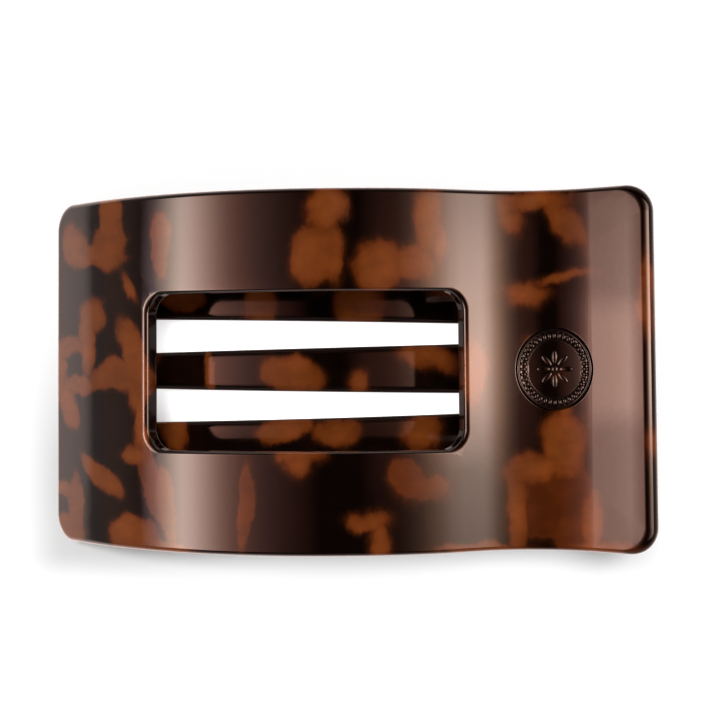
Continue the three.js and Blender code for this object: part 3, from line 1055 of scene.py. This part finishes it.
def floor_light(nodes, place):
    """How strongly the floor glows: brighter under the window, and shaded by the front edge."""
    window = nodes.vector("LENGTH", nodes.vector("MULTIPLY", place, WINDOW_GLOW_SCALE))
    glow = nodes.remap(window, *WINDOW_GLOW_EDGE, WINDOW_GLOW, FLOOR_GLOW, smooth=True)
    axes = nodes.axes(place)
    x, y = axes["X"], axes["Y"]
    from_middle = nodes.maths("ABSOLUTE", x)
    at_tip = nodes.remap(x, *SHADE_LEAVES_TIP, FLOOR_SHADE, 0, smooth=True)
    at_ends = nodes.remap(x, *SHADE_REACHES_PRESS_END, at_tip, FLOOR_SHADE, smooth=True)
    within = nodes.remap(from_middle, *SHADE_LEAVES_SIDES, 1, 0, smooth=True)
    in_front = nodes.remap(y, *SHADE_STARTS_IN_FRONT, 0, 1, smooth=True)
    not_behind = nodes.remap(y, *SHADE_LEAVES_BEHIND, 1, 0, smooth=True)
    shade = nodes.maths("MULTIPLY", at_ends, within)
    shade = nodes.maths("MULTIPLY", shade, nodes.maths("MULTIPLY", in_front, not_behind))
    return nodes.maths("SUBTRACT", glow, shade)


def mirrored_light(nodes, place):
    """How bright the floor is where the clip mirrors it."""
    (near, near_light), (far, far_light) = MIRRORED_NEAR, MIRRORED_FAR
    from_clip = nodes.vector("LENGTH", place)
    light = nodes.remap(from_clip, near, far, near_light, far_light, smooth=True)
    footprint = nodes.vector("LENGTH", nodes.vector("MULTIPLY", place, FOOTPRINT_SCALE))
    kept = nodes.remap(footprint, *FOOTPRINT_EDGE, FOOTPRINT_LIGHT, 1, smooth=True)
    return nodes.maths("MULTIPLY", light, kept)


def make_floor():
    """A pale floor that is clear from below, so that the underside can be seen.

    Its glow and its shade are laid out for the clip at rest, and stay there when it opens.
    """
    floor = start_flat_piece("floor")
    add_flat_rectangle(-FLOOR_HALF_SIZE, FLOOR_HALF_SIZE, 2 * FLOOR_HALF_SIZE, -FLOOR_DROP)
    done()
    material, nodes = new_material("floor")
    place = nodes.millimetres()
    matt = nodes.add("ShaderNodeBsdfDiffuse")
    matt.inputs["Color"].default_value = (FLOOR_COLOUR,) * 3 + (1,)
    emission = nodes.add("ShaderNodeEmission")
    nodes.join(floor_light(nodes, place), emission.inputs["Strength"])
    lit = nodes.add("ShaderNodeAddShader")
    nodes.fill(lit.inputs, (matt.outputs[0], emission.outputs[0]))
    mirrored = nodes.add("ShaderNodeEmission")
    mirrored.inputs["Color"].default_value = MIRRORED_FLOOR
    nodes.join(mirrored_light(nodes, place), mirrored.inputs["Strength"])
    path = nodes.add("ShaderNodeLightPath")
    seen = nodes.add("ShaderNodeMixShader")
    nodes.fill(seen.inputs, (path.outputs["Is Glossy Ray"], lit.outputs[0], mirrored.outputs[0]))
    sides = nodes.add("ShaderNodeNewGeometry")
    clear = nodes.add("ShaderNodeBsdfTransparent")
    chosen = nodes.add("ShaderNodeMixShader")
    nodes.fill(chosen.inputs, (sides.outputs["Backfacing"], seen.outputs[0], clear.outputs[0]))
    nodes.output(chosen.outputs[0])
    floor.data.materials.append(material)


def make_world():
    """Pale to look at, even in its light, and dark overhead where the shell mirrors it."""
    world = bpy.data.worlds.new("studio")
    world.use_nodes = True
    bpy.context.scene.world = world
    nodes = Nodes(world)
    direction = nodes.add("ShaderNodeTexCoord").outputs["Generated"]
    low_down = nodes.remap(nodes.axes(direction)["Z"], *HORIZON_BAND, 1, 0, smooth=True)
    mirrored = nodes.scaled(HORIZON_LIGHT, low_down)
    path = nodes.add("ShaderNodeLightPath")
    ambient = nodes.maths("MULTIPLY", path.outputs["Is Diffuse Ray"], AMBIENT_LIGHT)
    even = nodes.maths("MAXIMUM", path.outputs["Is Camera Ray"], ambient)
    background = nodes.add("ShaderNodeBackground")
    nodes.join(nodes.vector("MAXIMUM", mirrored, even), background.inputs["Color"])
    nodes.output(background.outputs[0], "ShaderNodeOutputWorld")


def make_camera():
    camera_data = bpy.data.cameras.new("camera")
    camera_data.lens = CAMERA_LENS
    camera_data.sensor_width = 36
    camera_data.shift_y = CAMERA_SHIFT
    camera_data.clip_start = 0.01
    camera_data.clip_end = 20
    camera = bpy.data.objects.new("camera", camera_data)
    camera.location = CAMERA_PLACE
    camera.rotation_euler = (math.radians(CAMERA_TILT), 0, math.radians(CAMERA_ROLL))
    bpy.context.scene.collection.objects.link(camera)
    bpy.context.scene.camera = camera


# ---- Putting it together ----

def dress(piece, material, slot, *nodes):
    piece.data.materials.clear()
    piece.data.materials.append(material)
    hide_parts(*nodes)


plate_shell = sheet_shell("plate_shell", PLATE_AMBER, PLATE_DARK)
fork_shell = sheet_shell("fork_shell", FORK_AMBER)
lug_shell = block_shell("lug_shell", 0.42, 0.62)
inlay_shell = block_shell("inlay_shell", 0.6, 0.9)
steel = drawn_steel("drawn_steel")

plate = make_plate()
dress(plate, plate_shell, "tortoiseshell", "top_plate")
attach(plate, "plate")

medallion = make_medallion()
dress(medallion, inlay_shell, "inlay", "medallion")
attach(medallion, "plate")

fork = make_fork()
dress(fork, fork_shell, "tortoiseshell", "fork")
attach(fork, "fork")

for side in ("rear", "front"):
    lug = make_lug(f"plate_lug_{side}", f"{side}_plate_lug", plate_line, 1)
    dress(lug, lug_shell, "tortoiseshell", f"plate_lug_{side}")
    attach(lug, "plate")
    lug = make_lug(f"fork_lug_{side}", f"{side}_fork_lug", fork_line, -1)
    dress(lug, lug_shell, "tortoiseshell", f"fork_lug_{side}")
    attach(lug, "fork")

pin = make_pin()
dress(pin, steel, "steel", "hinge_pin")
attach(pin, "plate")

spring = make_spring()
dress(spring, steel, "steel", "torsion_spring")
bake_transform(spring)

make_softbox("left_softbox", LEFT_SOFTBOX, LEFT_FADE)
make_softbox("right_softbox", RIGHT_SOFTBOX, RIGHT_FADE)
make_sun()
make_floor()
make_world()
make_camera()
bpy.context.scene.view_settings.view_transform = "Standard"
